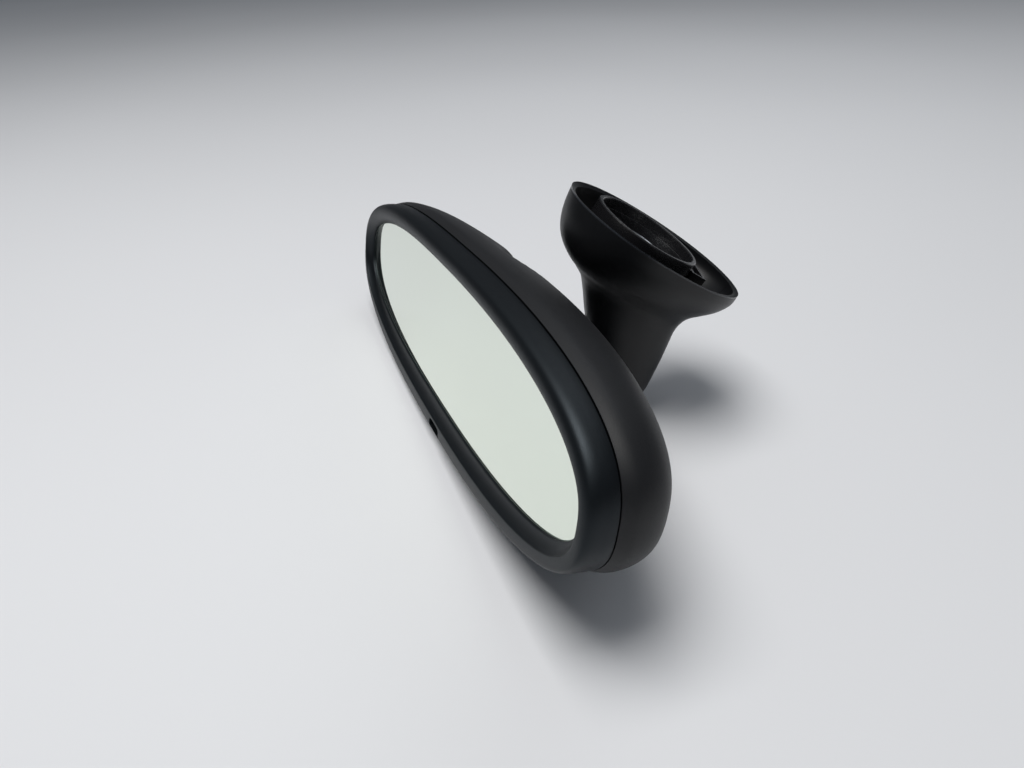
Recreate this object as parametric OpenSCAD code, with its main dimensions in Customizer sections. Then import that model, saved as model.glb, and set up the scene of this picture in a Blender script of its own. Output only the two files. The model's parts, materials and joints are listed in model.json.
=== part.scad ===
// Interior rearview mirror: self-dimming oval head on a ball joint, with a twist-on
// windscreen foot. Millimetres. The origin is the centre of the foot's mounting ring,
// on the plane of the covers' open mouth; +Z is up and +Y is towards the windscreen.

/* [Mirror head] */
// Half length of the visible glass
glass_half_l = 109; // [95:1:120]
// Half height of the visible glass
glass_half_h = 24; // [21:0.5:28]
// Squareness of the glass outline, where 2 is an ellipse
glass_power = 2.45; // [2:0.05:3]
// Width of the bezel band at the two ends
bezel_side = 7; // [6:0.5:9]
// Width of the bezel band along the top
bezel_top = 7.2; // [6.5:0.1:9]
// Width of the bezel band along the chin, where the glare sensor sits
bezel_chin = 9.8; // [9:0.1:11]
// Height of the bezel's crown in front of the glass
bezel_crown = 3.5; // [3:0.1:4.5]
// Depth of the seam between bezel and housing behind the glass face
seam_depth = 4.4; // [4:0.1:4.7]
// Depth of the rear housing behind the seam
housing_depth = 31; // [29:0.5:35]
// How far the housing bulges past the bezel
housing_bulge = 1.2; // [0.8:0.1:2]
// Wall of the rear housing
housing_wall = 2; // [1.6:0.1:2.4]

/* [Dimming cell] */
// Thickness of each sheet of glass
glass_t = 2; // [1.6:0.1:2.2]
// Gap between the sheets, filled with the dimming gel
gel_t = 0.4; // [0.3:0.05:0.6]
// Width of the seal round the gel
seal_w = 2.4; // [2:0.1:3]
// Thickness of the foam tape behind the cell
foam_t = 0.8; // [0.6:0.1:1]
// Thickness of the carrier plate
carrier_t = 2; // [1.6:0.1:2.4]

/* [Ball joint] */
// Radius of the ball
ball_r = 8.5; // [7.5:0.1:9]
// Depth of the ball's centre behind the glass face
ball_depth = 19.2; // [18.8:0.1:19.7]
// Radius of the ball's neck
neck_r = 4.5; // [4:0.1:4.8]
// Thickness of the friction liners round the ball
liner_t = 0.92; // [0.8:0.02:1.2]
// Running clearance on each spherical face
ball_fit = 0.06; // [0.02:0.01:0.09]
// Radius of the socket body
socket_r = 15; // [14.6:0.1:15.4]
// Turn of the head about the vertical
head_turn = 17.4; // [10:0.1:20]
// Tilt of the head, negative to lean the glass upwards
head_tilt = -10.7; // [-14:0.1:4]
// Roll of the head in its own plane
head_roll = -4.7; // [-6:0.1:2]

/* [Foot] */
// Slope of the windscreen face from the horizontal
rake = 33.5; // [32:0.5:35]
// Outer radius of the mounting ring
ring_r = 19; // [18.4:0.1:19.2]
// Wall of the mounting ring
ring_wall = 1.5; // [1.2:0.1:1.8]
// How far the ring's lip stands out of the covers' mouth
ring_proud = 1.3; // [0.5:0.1:1.5]
// Depth of the ring's well, with the spring at its bottom
ring_depth = 8; // [7:0.5:8.5]
// Depth of the stretch of bore that takes the windscreen button, down to its ledge
ring_seat = 3.5; // [3:0.1:4]
// Half width of the foot's open mouth
mouth_half_w = 27.4; // [27:0.2:30]
// Wall of the foot covers
cover_wall = 1.8; // [1.5:0.1:2]
// Width of the parting line between the covers
cover_gap = 0.2; // [0.1:0.05:0.4]

/* [Arm] */
// Radius of the metal arm inside the covers
arm_r = 7; // [6.4:0.1:7.2]
// Thickness of the arm's base plate
plate_t = 3; // [2.5:0.1:3.2]
// Radius of the wire harness
harness_r = 1.5; // [1.2:0.1:1.6]

/* [Hidden] */
eps = 0.02;
gap = 0.1;               // assembly clearance between neighbouring pieces
far = 100;               // longer than any cut needs
round_fn = 64;

// Layers behind the glass face, front to back
cell_front = 0.05;
gel_front = cell_front + glass_t;
rear_front = gel_front + gel_t;
foam_front = rear_front + glass_t;
carrier_front = foam_front + foam_t;
carrier_back = carrier_front + carrier_t;
board_front = carrier_back + 2;
board_t = 1.6;
board_back = board_front + board_t;

// Fractions of the bezel band, from the glass (0) to the seam (1)
cell_edge = 0.40;
pocket_edge = 0.42;
spigot_edge = 0.66;
spigot_depth = seam_depth + 4.2;

// Bezel section: fraction of the band and place along the head's depth
bezel_section = [
    [0, 0], [0.035, -0.20 * bezel_crown], [0.20, -0.34 * bezel_crown],
    [0.35, -0.56 * bezel_crown], [0.43, -0.77 * bezel_crown], [0.52, -0.87 * bezel_crown],
    [0.62, -0.96 * bezel_crown], [0.73, -bezel_crown], [0.85, -0.92 * bezel_crown],
    [0.93, -0.66 * bezel_crown], [0.975, -0.24 * bezel_crown], [1, 0.5 * bezel_crown],
    [1, seam_depth],
    [spigot_edge, seam_depth], [spigot_edge, spigot_depth],
    [pocket_edge, spigot_depth], [pocket_edge, 0]];

// Rear housing sections: share of its depth, and how far the outline has drawn in
// along the length and along the height
housing_start = seam_depth + 0.3;
housing_section = [
    [0, 1.2, 0.9], [0.12, 0, 0.1], [0.28, 0.7, 0.9], [0.42, 3.2, 2.3], [0.55, 8.6, 4.1],
    [0.68, 18.5, 6.3], [0.80, 32, 9.0], [0.89, 47, 12.1], [0.95, 63, 16], [0.985, 82, 20.6],
    [1, 97, 25.6]];
seam_power = 2.75;
chin_power = 2.42;
outline_steps = 96;

// Glare sensor slot in the chin
slot_x = 9;
slot_z = -glass_half_h - 0.72 * bezel_chin;
slot_half_l = 5.5;
slot_r = 1.9;
slot_floor = 1.2;

// Ball joint: shells round the ball, from inside to outside
liner_in = ball_r + ball_fit;
liner_out = liner_in + liner_t;
socket_in = liner_out + ball_fit;
socket_split = ball_depth;
retainer_t = 3.4;
cup_r = 7.2;
cup_hole_r = 2.4;
ring_front = -1.9;
ring_back = 3.3;
clamp_circle = 12.4;
clamp_shank_r = 1.2;
clamp_head_r = 2.2;
clamp_head_t = 1.3;

// Recess in the back of the housing, a leaning round channel open at the top
recess_r = 21;
recess_lean = 18;
recess_valley = 29.9;
recess_wall = 1.2;
recess_floor = -10;
neck_hole_r = 14;

// Board and sensors, in the head's own frame
board_half_l = 62;
board_half_h = 19;
board_corner = 6;
post_x = 52;
post_z = 12;
post_r = 2.6;
screw_r = 1.1;
screw_head_r = 2;
screw_head_t = 1.4;
pipe_x = -44;
pipe_z = 7;
pipe_r = 2.4;
window_r = 3;
window_back = 33.6;
connector_x = 32;

// Ball centre and the neck's direction, in the part's frame
ball_y = -51.3;
ball_z = -33.5;
arm_y = -5;
neck_root_z = -37;
neck_angle = atan2(ball_z - neck_root_z, arm_y - ball_y);
neck_len = norm([arm_y - ball_y, ball_z - neck_root_z]);
collar_r = 6.4;
collar_from = 11;
collar_to = 21;
stud_depth = 16;
stud_len = neck_len - (collar_to - stud_depth);
elbow_r = 4.8;
wire_bore_r = 2.2;

// Foot outline: driver-side point, windscreen-side point (each Y, Z) and half width
foot_section = [
    [-24.2, 16.0, 31.4, -20.8, mouth_half_w],
    [-26.5, 10.4, 29.4, -23.5, mouth_half_w - 0.8],
    [-27.8, 5.2, 25.5, -25.7, mouth_half_w - 3],
    [-27.8, 0.4, 20.7, -27.1, mouth_half_w - 6],
    [-26.3, -4.0, 16.4, -28.4, mouth_half_w - 9],
    [-23.7, -8.4, 13.4, -30.7, mouth_half_w - 11.6],
    [-21.4, -13.4, 11.1, -34.1, mouth_half_w - 13.2],
    [-20.4, -19.6, 9.6, -38.7, mouth_half_w - 14.1],
    [-19.8, -26.6, 7.7, -44.2, mouth_half_w - 14.5],
    [-18.8, -34.4, 5.3, -50.4, mouth_half_w - 14.8],
    [-17.2, -42.8, 2.8, -56.4, mouth_half_w - 15.4],
    [-15.0, -51.0, -0.2, -61.4, mouth_half_w - 16.8],
    [-12.2, -58.0, -3.6, -64.4, mouth_half_w - 20],
    [-9.8, -62.0, -6.0, -65.4, mouth_half_w - 23.8]];
rim_wall = 1;
foot_steps = 56;
foot_power_mouth = 2.05;
foot_power_arm = 2.7;

ring_lip = ring_proud;
ring_floor = ring_lip - ring_depth;
ring_floor_t = 1.5;
ring_ledge = 0.5;
ring_hub_r = 12.4;
plate_top = ring_floor - ring_floor_t;
tongue_y = 25;
tongue_half_w = 6.5;
foot_screw_circle = 14.7;
foot_screw_head_r = 2.2;
spring_r = 10;
spring_rise = 2;
spring_end = 10;
anchor_half_w = 2.6;
anchor_h = 5;
spring_wire_r = 0.9;
plug_y = 22.1;
plug_half_w = 6;

// Harness route, a list of points chosen by hand, in the part's frame
harness_route = [
    [0, 13.8, -19.2], [0, 11.5, -22.6], [0, 10.9, -23.5], [0, 10, -24.2], [0, 8.8, -24.8],
    [0, 5, -26.9], [0, 0, -29.6], [0, -3, -31.4], [0, -5.2, -33.2], [0, -7.2, -35], [0, -9.2, -36.1],
    [0, -12, -36.4], [0, -20, -35.8], [0, -28, -35.2], [0, -36, -34.6], [0, -44, -34.05],
    [0, -51.3, -33.5]];
harness_exit = 28;       // steepness of the harness hole through the arm

// ---------- helpers ----------
function signed_pow(v, p) = sign(v) * pow(abs(v), p);

// A superellipse outline [x, z] whose lower half may be taller than its upper half
function oval(a, top, chin, p, n, p_chin = undef) = [for (i = [0:n - 1])
    let (t = 360 * i / n, s = sin(t), q = s >= 0 || p_chin == undef ? p : p_chin)
    [a * signed_pow(cos(t), 2 / q), (s >= 0 ? top : chin) * signed_pow(s, 2 / q)]];

function band_outline(s) = oval(glass_half_l + s * bezel_side, glass_half_h + s * bezel_top,
    glass_half_h + s * bezel_chin, glass_power + s * (seam_power - glass_power), outline_steps,
    glass_power + s * (chin_power - glass_power));

function lift(outline, y) = [for (p = outline) [p[0], y, p[1]]];

function flat_list(lists) = [for (l = lists) for (v = l) v];

// Skin over a stack of rings: capped at both ends, or joined end to end
module loft(rings, ring_closed = false) {
    n = len(rings[0]);
    m = len(rings);
    last = ring_closed ? m - 1 : m - 2;
    side = [for (i = [0:last]) for (j = [0:n - 1])
        [i * n + j, i * n + (j + 1) % n, ((i + 1) % m) * n + (j + 1) % n, ((i + 1) % m) * n + j]];
    caps = ring_closed ? [] : [[for (j = [n - 1:-1:0]) j], [for (j = [0:n - 1]) (m - 1) * n + j]];
    polyhedron(flat_list(rings), concat(side, caps), convexity = 8);
}

// Round tube along a route in the YZ plane
module tube(route, r, sides = 10) {
    m = len(route);
    rings = [for (i = [0:m - 1])
        let (a = route[max(i - 1, 0)], b = route[min(i + 1, m - 1)], d = (b - a) / norm(b - a),
             up = [0, -d[2], d[1]])
        [for (k = [0:sides - 1]) let (t = 360 * k / sides)
            route[i] + r * (cos(t) * [1, 0, 0] + sin(t) * up)]];
    loft(rings);
}

// Frames
module foot_frame() rotate([-rake, 0, 0]) children();
module ball_frame() translate([0, ball_y, ball_z]) children();
module turn_frame() ball_frame() rotate([0, 0, head_turn]) children();
module tilt_frame() turn_frame() rotate([head_tilt, 0, 0]) children();
module head_frame()
    tilt_frame() rotate([0, head_roll, 0]) translate([0, -ball_depth, 0]) children();
module neck_frame()
    translate([0, arm_y, neck_root_z]) rotate([90 - neck_angle, 0, 0]) children();

// A cylinder that runs back from the glass, from depth y0 to y1
module peg(r, y0, y1, x = 0, z = 0)
    translate([x, y0, z]) rotate([-90, 0, 0]) cylinder(r = r, h = y1 - y0, $fn = round_fn);

// A flat plate between two depths
module slab(y0, y1) translate([0, y1, 0]) rotate([90, 0, 0]) linear_extrude(y1 - y0) children();

module sheet(y0, y1) slab(y0, y1) polygon(band_outline(cell_edge));

module cell_window(inset)
    polygon(oval(glass_half_l + cell_edge * bezel_side - inset,
        glass_half_h + cell_edge * bezel_top - inset,
        glass_half_h + cell_edge * bezel_chin - inset, glass_power, outline_steps,
        glass_power + cell_edge * (chin_power - glass_power)));

// ---------- dimming cell ----------
module front_glass() color([0.86, 0.9, 0.86]) head_frame() sheet(cell_front, gel_front);

module rear_glass() color([0.8, 0.84, 0.82]) head_frame() sheet(rear_front, foam_front);

module cell_seal() color([0.2, 0.2, 0.22]) head_frame()
    slab(gel_front, rear_front) difference() {
        polygon(band_outline(cell_edge));
        cell_window(seal_w);
    }

module ec_gel_layer() color([0.7, 0.82, 0.72]) head_frame()
    slab(gel_front, rear_front) cell_window(seal_w);

// Thin spring-metal strip that laps the edge of the rear glass and feeds the coating
module bus_clip(side) head_frame() {
    clip_t = 0.2;
    clip_half_l = 58;
    lap = 3;
    slab(foam_front, foam_front + clip_t)
        intersection() {
            difference() {
                cell_window(0);
                cell_window(lap);
            }
            translate([-clip_half_l, side > 0 ? 0 : -glass_half_h * 2])
                square([2 * clip_half_l, glass_half_h * 2]);
        }
}

module bus_clip_top() color([0.75, 0.7, 0.55]) bus_clip(1);
module bus_clip_bottom() color([0.75, 0.7, 0.55]) bus_clip(-1);

module foam_tape() color([0.1, 0.1, 0.1]) head_frame()
    slab(foam_front, carrier_front) cell_window(seal_w + 1.6);

// ---------- carrier, board and sensors ----------
module carrier_plate() color([0.13, 0.13, 0.14]) head_frame() difference() {
    union() {
        sheet(carrier_front, carrier_back);
        for (x = [-post_x, post_x], z = [-post_z, post_z])
            peg(post_r, carrier_back - eps, board_front, x, z);
    }
    for (x = [-post_x, post_x], z = [-post_z, post_z])
        peg(screw_r, carrier_front + 0.4, board_front + 1, x, z);
    for (i = [0:2])
        peg(clamp_shank_r, carrier_front + 0.4, carrier_back + 1,
            clamp_circle * cos(30 + 120 * i), clamp_circle * sin(30 + 120 * i));
}

module circuit_board() color([0.07, 0.3, 0.16]) head_frame() difference() {
    slab(board_front, board_back) union() {
        for (x = [-1, 1], z = [-1, 1])
            translate([x * (board_half_l - board_corner), z * (board_half_h - board_corner)])
                circle(r = board_corner, $fn = round_fn);
        square([2 * (board_half_l - board_corner), 2 * board_half_h], center = true);
        square([2 * board_half_l, 2 * (board_half_h - board_corner)], center = true);
    }
    peg(socket_r + 1.5, board_front - 1, board_back + 1);
    for (x = [-post_x, post_x], z = [-post_z, post_z])
        peg(screw_r + gap, board_front - 1, board_back + 1, x, z);
}

module board_screws() color("silver") head_frame()
    for (x = [-post_x, post_x], z = [-post_z, post_z]) {
        peg(screw_r, carrier_front + 0.4, board_back + eps, x, z);
        peg(screw_head_r, board_back, board_back + screw_head_t, x, z);
    }

module block(x, z, w, h, t) translate([x - w / 2, board_back, z - h / 2]) cube([w, t, h]);

// Dimming driver, regulator and filter parts, each a separate solid on the board
module board_parts() color([0.08, 0.08, 0.09]) head_frame() {
    block(-26, 4, 9, 9, 1.6);
    block(-26, -10, 6, 4, 1.4);
    block(24, 8, 7, 5, 2.2);
    for (i = [0:3]) block(44 + 4 * (i % 2), -2 + 6 * floor(i / 2), 2, 1.2, 0.8);
    peg(3, board_back, board_back + 5.4, -36, -9);
}

module board_connector() color([0.85, 0.84, 0.78]) head_frame() difference() {
    block(connector_x, -9, 12, 6, 6);
    translate([connector_x - 5, board_back + 2, -11.2]) cube([10, 5, 4.4]);
}

// Lead from the socket's mouth to its solder pads on the front of the board
module board_lead() color([0.12, 0.12, 0.12]) head_frame() {
    lead_r = 0.7;
    lead_y = carrier_back + 0.95;
    lead_from = 4.8;
    lead_to = connector_x - 6;
    translate([lead_from, lead_y, 0]) rotate([0, 90, 0])
        cylinder(r = lead_r, h = lead_to - lead_from, $fn = round_fn);
}

module ambient_sensor() color([0.1, 0.1, 0.12]) head_frame()
    translate([pipe_x - 2, board_back, pipe_z - 2]) cube([4, 1.2, 4]);

module ambient_light_pipe() color([0.8, 0.85, 0.9]) head_frame()
    peg(pipe_r, board_back + 1.2, window_back - 2, pipe_x, pipe_z);

module ambient_window() color([0.12, 0.1, 0.12]) head_frame()
    peg(window_r, window_back - 2, window_back, pipe_x, pipe_z);

module chin_slot(grow) {
    for (x = [-1, 1])
        translate([slot_x + x * (slot_half_l - slot_r), slot_z]) circle(r = slot_r + grow, $fn = round_fn);
    translate([slot_x - slot_half_l + slot_r, slot_z - slot_r - grow])
        square([2 * (slot_half_l - slot_r), 2 * (slot_r + grow)]);
}

module sensor_window() color([0.05, 0.05, 0.07]) head_frame()
    slab(-0.5 * bezel_crown, slot_floor - 1.2) chin_slot(-gap);

module glare_sensor() color([0.15, 0.1, 0.1]) head_frame()
    translate([slot_x - 2, slot_floor - 1.2, slot_z - 1.5]) cube([4, 1.2, 3]);

// ---------- head casing ----------
// The bezel: one closed section swept round the outline, with the sensor slot
module bezel() color([0.13, 0.13, 0.14]) head_frame() resize([0, 0, 0]) difference() {
    loft([for (s = bezel_section) lift(band_outline(s[0]), s[1])], ring_closed = true);
    slab(-bezel_crown - 1, slot_floor) chin_slot(0);
}

function housing_ring(s, inset, back) = lift(
    oval(glass_half_l + bezel_side + housing_bulge - s[1] - inset,
        glass_half_h + bezel_top + housing_bulge - s[2] - inset,
        glass_half_h + bezel_chin + housing_bulge - s[2] - inset, seam_power - 0.3 * s[0],
        outline_steps, chin_power),
    housing_start + s[0] * (housing_depth - back));

module recess_cut(grow) {
    lean_y = recess_valley + recess_r;
    translate([0, lean_y, 0]) rotate([recess_lean, 0, 0]) {
        translate([0, 0, recess_floor]) cylinder(r = recess_r + grow, h = far, $fn = 48);
        translate([0, 0, recess_floor]) sphere(r = recess_r + grow, $fn = 48);
    }
}

module rear_housing() color([0.16, 0.16, 0.17]) head_frame() resize([0, 0, 0]) difference() {
    difference() {
        loft([for (s = housing_section) housing_ring(s, 0, 0)]);
        recess_cut(0);
    }
    difference() {
        union() {
            loft([for (s = housing_section) housing_ring(s, housing_wall, housing_wall)]);
            slab(housing_start - 1, housing_start + 1)
                polygon(band_outline(spigot_edge + 0.03));
        }
        recess_cut(recess_wall);
    }
    peg(neck_hole_r, ball_depth, far);
    peg(window_r + gap, board_back, far, pipe_x, pipe_z);
}

// ---------- ball joint ----------
module along_y(r, y0, y1, r2 = undef)
    translate([0, y0, 0]) rotate([-90, 0, 0])
        cylinder(r1 = r, r2 = r2 == undef ? r : r2, h = y1 - y0, $fn = round_fn);

module liner_cup() color([0.85, 0.85, 0.82]) turn_frame() difference() {
    intersection() {
        sphere(r = liner_out, $fn = round_fn);
        along_y(cup_r, -2 * ball_r, 0);
    }
    sphere(r = liner_in, $fn = round_fn);
    along_y(cup_hole_r, -2 * ball_r, 0);
}

module liner_ring() color([0.85, 0.85, 0.82]) tilt_frame() rotate([-90, 0, 0]) difference() {
    sphere(r = liner_out, $fn = round_fn);
    sphere(r = liner_in, $fn = round_fn);
    translate([0, 0, ring_back]) cylinder(r = 2 * ball_r, h = 2 * ball_r, $fn = round_fn);
    translate([0, 0, ring_front - 2 * ball_r]) cylinder(r = 2 * ball_r, h = 2 * ball_r, $fn = round_fn);
}

module clamp_pegs(r, y0, y1)
    for (i = [0:2]) peg(r, y0, y1, clamp_circle * cos(30 + 120 * i), clamp_circle * sin(30 + 120 * i));

module socket_seat() color([0.2, 0.2, 0.21]) head_frame() difference() {
    peg(socket_r, carrier_back, socket_split);
    translate([0, ball_depth, 0]) sphere(r = socket_in, $fn = round_fn);
    clamp_pegs(clamp_shank_r, carrier_back - 1, socket_split + 1);
    peg(wire_bore_r, carrier_back - 1, ball_depth);
    translate([0, carrier_back - 1, -1.2]) cube([socket_r + 2, 3.2, 2.4]);
}

module socket_retainer() color([0.6, 0.6, 0.62]) head_frame() difference() {
    peg(socket_r, socket_split, socket_split + retainer_t);
    translate([0, ball_depth, 0]) sphere(r = socket_in, $fn = round_fn);
    clamp_pegs(clamp_shank_r, socket_split - 1, socket_split + retainer_t + 1);
}

module clamp_screws() color("silver") head_frame() {
    clamp_pegs(clamp_shank_r, carrier_front + 0.4, socket_split + retainer_t + eps);
    clamp_pegs(clamp_head_r, socket_split + retainer_t, socket_split + retainer_t + clamp_head_t);
}

// Steel ball on a hollow neck, pressed into the arm
module ball_stud() color([0.35, 0.35, 0.37]) difference() {
    union() {
        ball_frame() sphere(r = ball_r, $fn = round_fn);
        neck_frame() translate([0, 0, neck_len - stud_len])
            cylinder(r = neck_r, h = stud_len, $fn = round_fn);
    }
    neck_frame() cylinder(r = wire_bore_r, h = neck_len + 2 * ball_r, $fn = round_fn);
}

// ---------- arm and foot ----------
module stalk_core() color([0.5, 0.5, 0.52]) difference() {
    union() {
        foot_frame() translate([0, 0, plate_top - plate_t]) {
            cylinder(r = ring_r, h = plate_t, $fn = round_fn);
            translate([-tongue_half_w, 0, 0]) cube([2 * tongue_half_w, tongue_y, plate_t]);
        }
        difference() {
            union() {
                translate([0, arm_y, neck_root_z - 2]) {
                    cylinder(r = arm_r, h = 40, $fn = round_fn);
                    sphere(r = arm_r, $fn = round_fn);
                }
                neck_frame() cylinder(r = collar_r, h = collar_from, $fn = round_fn);
                neck_frame() translate([0, 0, collar_from])
                    cylinder(r1 = collar_r, r2 = neck_r + 0.5, h = collar_to - collar_from, $fn = round_fn);
            }
            foot_frame() translate([-far / 2, -far / 2, plate_top - plate_t / 2]) cube(far);
        }
    }
    neck_frame() translate([0, 0, collar_to - stud_depth])
        cylinder(r = neck_r, h = stud_depth + 1, $fn = round_fn);
    translate([0, arm_y - 1.5, neck_root_z + 2.2]) sphere(r = elbow_r, $fn = round_fn);
    translate([0, arm_y - 1.5, neck_root_z + 3.8]) rotate([harness_exit - 90, 0, 0])
        cylinder(r = wire_bore_r, h = 20, $fn = round_fn);
    foot_frame() translate([0, plug_y, plate_top - plate_t - 1])
        cylinder(r = wire_bore_r, h = plate_t + 2, $fn = round_fn);
    foot_frame() for (i = [0:2]) rotate(90 + 120 * i)
        translate([foot_screw_circle, 0, plate_top - plate_t + 0.5])
            cylinder(r = screw_r, h = plate_t, $fn = round_fn);
}

module stalk_harness() color([0.1, 0.1, 0.1]) tube(harness_route, harness_r);

module mount_ring() color([0.12, 0.12, 0.13]) foot_frame() difference() {
    translate([0, 0, plate_top]) cylinder(r = ring_r, h = ring_lip - plate_top, $fn = round_fn);
    translate([0, 0, ring_lip - ring_seat])
        cylinder(r = ring_r - ring_wall, h = ring_seat + 1, $fn = round_fn);
    translate([0, 0, ring_floor])
        cylinder(r = ring_r - ring_wall - ring_ledge, h = ring_depth, $fn = round_fn);
    translate([0, 0, plate_top - 1]) cylinder(r = ring_hub_r, h = 4, $fn = round_fn);
    for (i = [0:2]) rotate(90 + 120 * i)
        translate([foot_screw_circle, 0, plate_top - 1]) cylinder(r = screw_r + gap, h = 4, $fn = round_fn);
}

module ring_screws() color("silver") foot_frame() for (i = [0:2]) rotate(90 + 120 * i)
    translate([foot_screw_circle, 0, 0]) {
        translate([0, 0, plate_top - plate_t + 0.5])
            cylinder(r = screw_r, h = ring_floor_t + plate_t - 0.4, $fn = round_fn);
        translate([0, 0, ring_floor]) cylinder(r = foot_screw_head_r, h = screw_head_t, $fn = round_fn);
    }

// Bent spring wire that snaps over the windscreen button
module spring_path(r, from, sweep) translate([0, 0, ring_floor + spring_rise])
    rotate(from - 90) rotate_extrude(angle = sweep, $fn = round_fn)
        translate([spring_r, 0]) circle(r = r, $fn = 24);

module lock_spring() color([0.8, 0.8, 0.82]) foot_frame()
    spring_path(spring_wire_r, spring_end, 360 - 2 * spring_end);

// Moulded block that grips the two ends of the spring wire
module spring_anchor() color([0.16, 0.16, 0.17]) foot_frame() difference() {
    translate([-anchor_half_w, -spring_r - 2, plate_top]) cube([2 * anchor_half_w, 4, anchor_h]);
    spring_path(spring_wire_r + 0.05, 0, 360);
}

module foot_connector() color([0.14, 0.14, 0.15]) foot_frame() difference() {
    translate([-plug_half_w, plug_y - 2.8, plate_top]) cube([2 * plug_half_w, 5.6, 6]);
    translate([-plug_half_w + 1, plug_y - 1.8, plate_top + 1]) cube([2 * plug_half_w - 2, 3.6, 6]);
}

module connector_pins() color([0.85, 0.7, 0.35]) foot_frame() for (x = [-3, 0, 3])
    translate([x - 0.4, plug_y - 0.4, plate_top + 1]) cube([0.8, 0.8, 4]);

function foot_ring(s, inset, out, p) =
    let (dy = s[2] - s[0], dz = s[3] - s[1], half = norm([dy, dz]) / 2,
         vy = dy / half / 2, vz = dz / half / 2,
         cy = (s[0] + s[2]) / 2 - out * vz, cz = (s[1] + s[3]) / 2 + out * vy)
    [for (p2 = oval(s[4] - inset, half - inset, half - inset, p, foot_steps))
        [p2[0], cy + p2[1] * vy, cz + p2[1] * vz]];

function foot_power(i) = foot_power_mouth + (foot_power_arm - foot_power_mouth) * min(1, i / 6);

module foot_shell() difference() {
    loft([for (i = [0:len(foot_section) - 1]) foot_ring(foot_section[i], 0, 0, foot_power(i))]);
    loft(concat([foot_ring(foot_section[0], rim_wall, rim_wall, foot_power(0))],
        [for (i = [1:len(foot_section) - 3]) foot_ring(foot_section[i], cover_wall, 0, foot_power(i))]));
    neck_frame() rotate(7) cylinder(r = collar_r + 0.4, h = far, $fn = 26);
}

module foot_half(side) resize([0, 0, 0]) intersection() {
    foot_shell();
    translate([side > 0 ? cover_gap / 2 : -far - cover_gap / 2, -far, -far])
        cube([far, 2 * far, 2 * far]);
}

module foot_cover_left() color([0.13, 0.13, 0.15]) foot_half(-1);
module foot_cover_right() color([0.13, 0.13, 0.15]) foot_half(1);

bezel();
sensor_window();
glare_sensor();
front_glass();
ec_gel_layer();
cell_seal();
rear_glass();
bus_clip_top();
bus_clip_bottom();
foam_tape();
carrier_plate();
circuit_board();
board_parts();
board_connector();
board_screws();
board_lead();
ambient_sensor();
ambient_light_pipe();
ambient_window();
socket_seat();
socket_retainer();
clamp_screws();
rear_housing();
liner_cup();
liner_ring();
ball_stud();
stalk_core();
stalk_harness();
mount_ring();
ring_screws();
lock_spring();
spring_anchor();
foot_connector();
connector_pins();
foot_cover_left();
foot_cover_right();
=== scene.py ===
"""Interior rearview mirror: the visible skins, finishes, stage and camera.

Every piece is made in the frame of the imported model, in metres. The head's pieces are
drawn in the head's own frame, with the glass face at Y = 0 looking along -Y, and are then
carried to their place by head_matrix().
"""

import json
import math

import bmesh
import bpy
from bpy.props import FloatProperty, FloatVectorProperty, IntProperty, PointerProperty
from mathutils import Matrix, Vector


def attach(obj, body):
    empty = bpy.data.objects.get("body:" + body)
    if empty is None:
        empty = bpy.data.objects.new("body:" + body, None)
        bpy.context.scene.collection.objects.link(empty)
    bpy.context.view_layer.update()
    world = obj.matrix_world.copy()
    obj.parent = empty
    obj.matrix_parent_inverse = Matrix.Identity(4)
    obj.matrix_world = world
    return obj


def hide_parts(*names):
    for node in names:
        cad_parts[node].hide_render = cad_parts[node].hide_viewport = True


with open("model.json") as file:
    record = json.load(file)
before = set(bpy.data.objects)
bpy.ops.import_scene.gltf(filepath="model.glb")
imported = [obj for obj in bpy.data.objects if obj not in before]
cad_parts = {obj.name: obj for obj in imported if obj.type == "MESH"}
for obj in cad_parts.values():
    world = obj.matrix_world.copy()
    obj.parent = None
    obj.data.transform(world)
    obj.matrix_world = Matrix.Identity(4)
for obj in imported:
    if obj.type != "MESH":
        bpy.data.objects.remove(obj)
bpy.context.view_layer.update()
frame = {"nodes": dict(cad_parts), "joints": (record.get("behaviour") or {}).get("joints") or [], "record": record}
JOINTS = {joint["name"]: joint for joint in frame["joints"]}
BALL = Vector(JOINTS["head_turn"]["pos_m"])

bl_info = {
    "name": "Interior Rearview Mirror",
    "version": (1, 0, 0),
    "blender": (4, 5, 0),
    "location": "View3D > Sidebar > Mirror",
    "description": "Builds the skins and finishes of a self-dimming rearview mirror",
    "category": "Object",
}

MM = 0.001


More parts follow.
